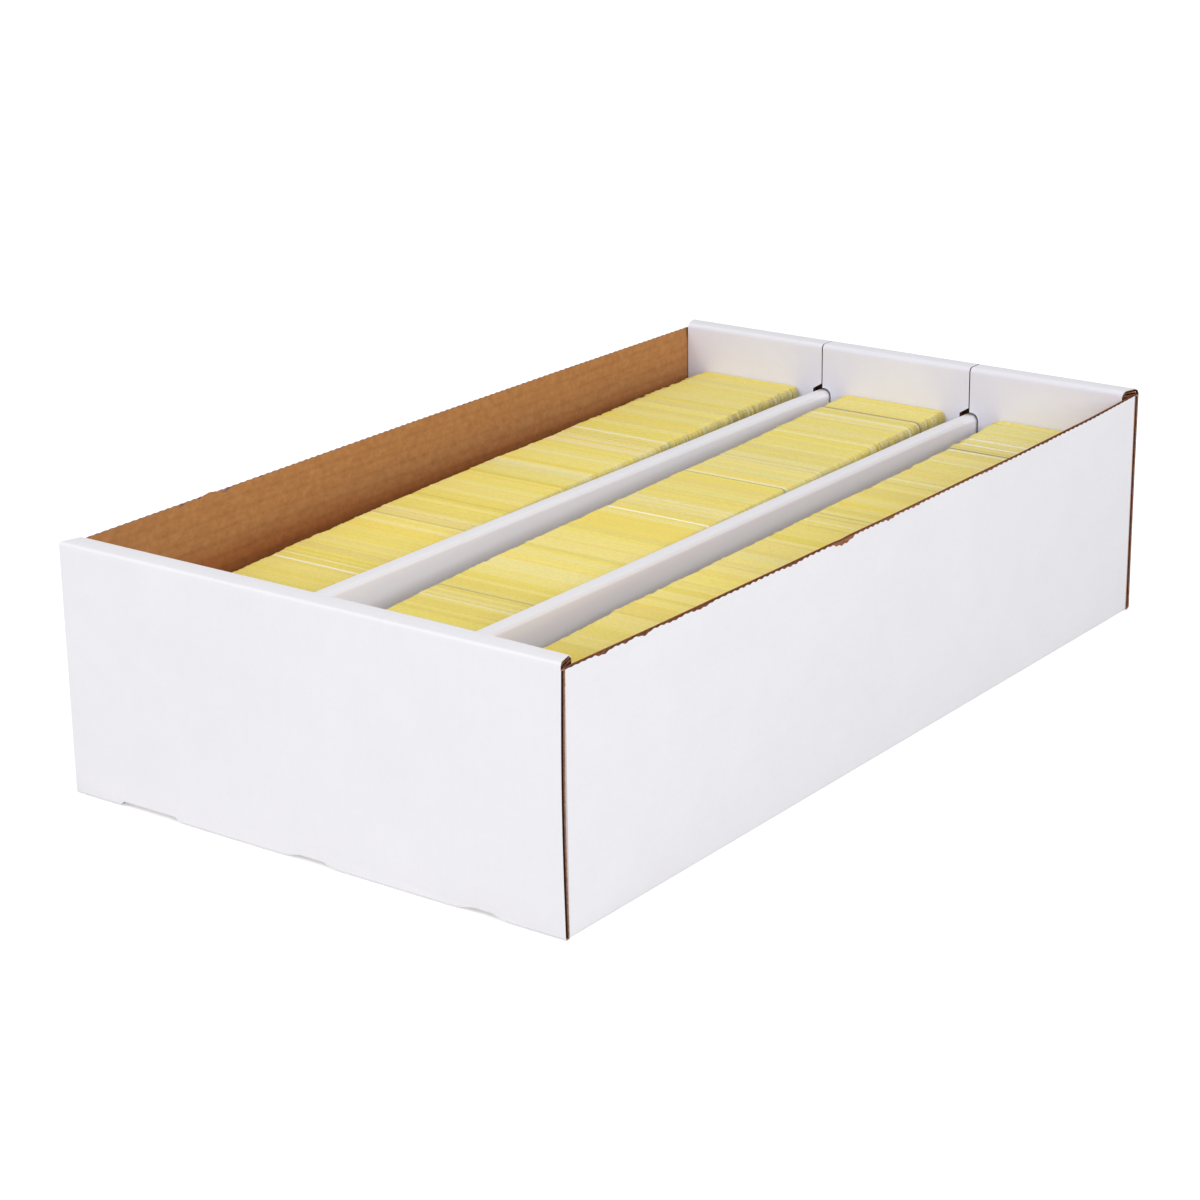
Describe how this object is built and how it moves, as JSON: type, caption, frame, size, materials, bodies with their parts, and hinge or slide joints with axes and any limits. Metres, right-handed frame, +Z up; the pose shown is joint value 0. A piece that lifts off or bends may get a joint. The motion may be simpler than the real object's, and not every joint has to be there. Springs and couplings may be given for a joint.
{
  "type": "card storage box",
  "caption": "Open white corrugated-board tray with rolled ends and folded dividers, filled with rows of loose cards on edge that lean back and lift out.",
  "frame": {"origin": "middle of the tray's underside, on the surface that it stands on", "axes": "+X to the right along the near end, +Y along the rows towards the far end, +Z up"},
  "size_m": [0.28, 0.502, 0.121],
  "materials": {
    "white_board": "white-lined corrugated board, brown kraft on its other side and along its raw edges",
    "card_stock": "stacked card edges in uneven yellows with a few pale cards"
  },
  "bodies": {
    "tray": {"floor_panel": "white_board", "left_wall": "white_board", "right_wall": "white_board", "near_end_panel": "white_board", "far_end_panel": "white_board", "near_left_corner_flap": "white_board", "near_right_corner_flap": "white_board", "far_left_corner_flap": "white_board", "far_right_corner_flap": "white_board", "near_left_flap": "white_board", "near_middle_flap": "white_board", "near_right_flap": "white_board", "far_left_flap": "white_board", "far_middle_flap": "white_board", "far_right_flap": "white_board", "left_row_floor": "white_board", "middle_row_floor": "white_board", "right_row_floor": "white_board", "left_divider": "white_board", "right_divider": "white_board"},
    "left_row_pack_1": {"left_row_pack_1": "card_stock"},
    "left_row_pack_2": {"left_row_pack_2": "card_stock"},
    "left_row_pack_3": {"left_row_pack_3": "card_stock"},
    "left_row_pack_4": {"left_row_pack_4": "card_stock"},
    "left_row_pack_5": {"left_row_pack_5": "card_stock"},
    "left_row_pack_6": {"left_row_pack_6": "card_stock"},
    "middle_row_pack_1": {"middle_row_pack_1": "card_stock"},
    "middle_row_pack_2": {"middle_row_pack_2": "card_stock"},
    "middle_row_pack_3": {"middle_row_pack_3": "card_stock"},
    "middle_row_pack_4": {"middle_row_pack_4": "card_stock"},
    "middle_row_pack_5": {"middle_row_pack_5": "card_stock"},
    "middle_row_pack_6": {"middle_row_pack_6": "card_stock"},
    "right_row_pack_1": {"right_row_pack_1": "card_stock"},
    "right_row_pack_2": {"right_row_pack_2": "card_stock"},
    "right_row_pack_3": {"right_row_pack_3": "card_stock"},
    "right_row_pack_4": {"right_row_pack_4": "card_stock"},
    "right_row_pack_5": {"right_row_pack_5": "card_stock"},
    "right_row_pack_6": {"right_row_pack_6": "card_stock"}
  },
  "joints": [
    {"name": "left_row_pack_1_lift", "type": "slide", "parent": "tray", "child": "left_row_pack_1", "axis": [0, 0.4384, 0.8988], "range_m": [0, 0.2447]},
    {"name": "left_row_pack_2_lift", "type": "slide", "parent": "tray", "child": "left_row_pack_2", "axis": [0, 0.3551, 0.9348], "range_m": [0, 0.1273]},
    {"name": "left_row_pack_3_lift", "type": "slide", "parent": "tray", "child": "left_row_pack_3", "axis": [0, 0.2689, 0.9632], "range_m": [0, 0.2283]},
    {"name": "left_row_pack_4_lift", "type": "slide", "parent": "tray", "child": "left_row_pack_4", "axis": [0, 0.1805, 0.9836], "range_m": [0, 0.121]},
    {"name": "left_row_pack_5_lift", "type": "slide", "parent": "tray", "child": "left_row_pack_5", "axis": [0, 0.0906, 0.9959], "range_m": [0, 0.2208]},
    {"name": "left_row_pack_6_lift", "type": "slide", "parent": "tray", "child": "left_row_pack_6", "axis": [0, 0, 1], "range_m": [0, 0.119]},
    {"name": "middle_row_pack_1_lift", "type": "slide", "parent": "tray", "child": "middle_row_pack_1", "axis": [0, 0.4384, 0.8988], "range_m": [0, 0.2447]},
    {"name": "middle_row_pack_2_lift", "type": "slide", "parent": "tray", "child": "middle_row_pack_2", "axis": [0, 0.3551, 0.9348], "range_m": [0, 0.1273]},
    {"name": "middle_row_pack_3_lift", "type": "slide", "parent": "tray", "child": "middle_row_pack_3", "axis": [0, 0.2689, 0.9632], "range_m": [0, 0.2283]},
    {"name": "middle_row_pack_4_lift", "type": "slide", "parent": "tray", "child": "middle_row_pack_4", "axis": [0, 0.1805, 0.9836], "range_m": [0, 0.121]},
    {"name": "middle_row_pack_5_lift", "type": "slide", "parent": "tray", "child": "middle_row_pack_5", "axis": [0, 0.0906, 0.9959], "range_m": [0, 0.2208]},
    {"name": "middle_row_pack_6_lift", "type": "slide", "parent": "tray", "child": "middle_row_pack_6", "axis": [0, 0, 1], "range_m": [0, 0.119]},
    {"name": "right_row_pack_1_lift", "type": "slide", "parent": "tray", "child": "right_row_pack_1", "axis": [0, 0.4384, 0.8988], "range_m": [0, 0.2447]},
    {"name": "right_row_pack_2_lift", "type": "slide", "parent": "tray", "child": "right_row_pack_2", "axis": [0, 0.3551, 0.9348], "range_m": [0, 0.1273]},
    {"name": "right_row_pack_3_lift", "type": "slide", "parent": "tray", "child": "right_row_pack_3", "axis": [0, 0.2689, 0.9632], "range_m": [0, 0.2283]},
    {"name": "right_row_pack_4_lift", "type": "slide", "parent": "tray", "child": "right_row_pack_4", "axis": [0, 0.1805, 0.9836], "range_m": [0, 0.121]},
    {"name": "right_row_pack_5_lift", "type": "slide", "parent": "tray", "child": "right_row_pack_5", "axis": [0, 0.0906, 0.9959], "range_m": [0, 0.2208]},
    {"name": "right_row_pack_6_lift", "type": "slide", "parent": "tray", "child": "right_row_pack_6", "axis": [0, 0, 1], "range_m": [0, 0.119]}
  ]
}
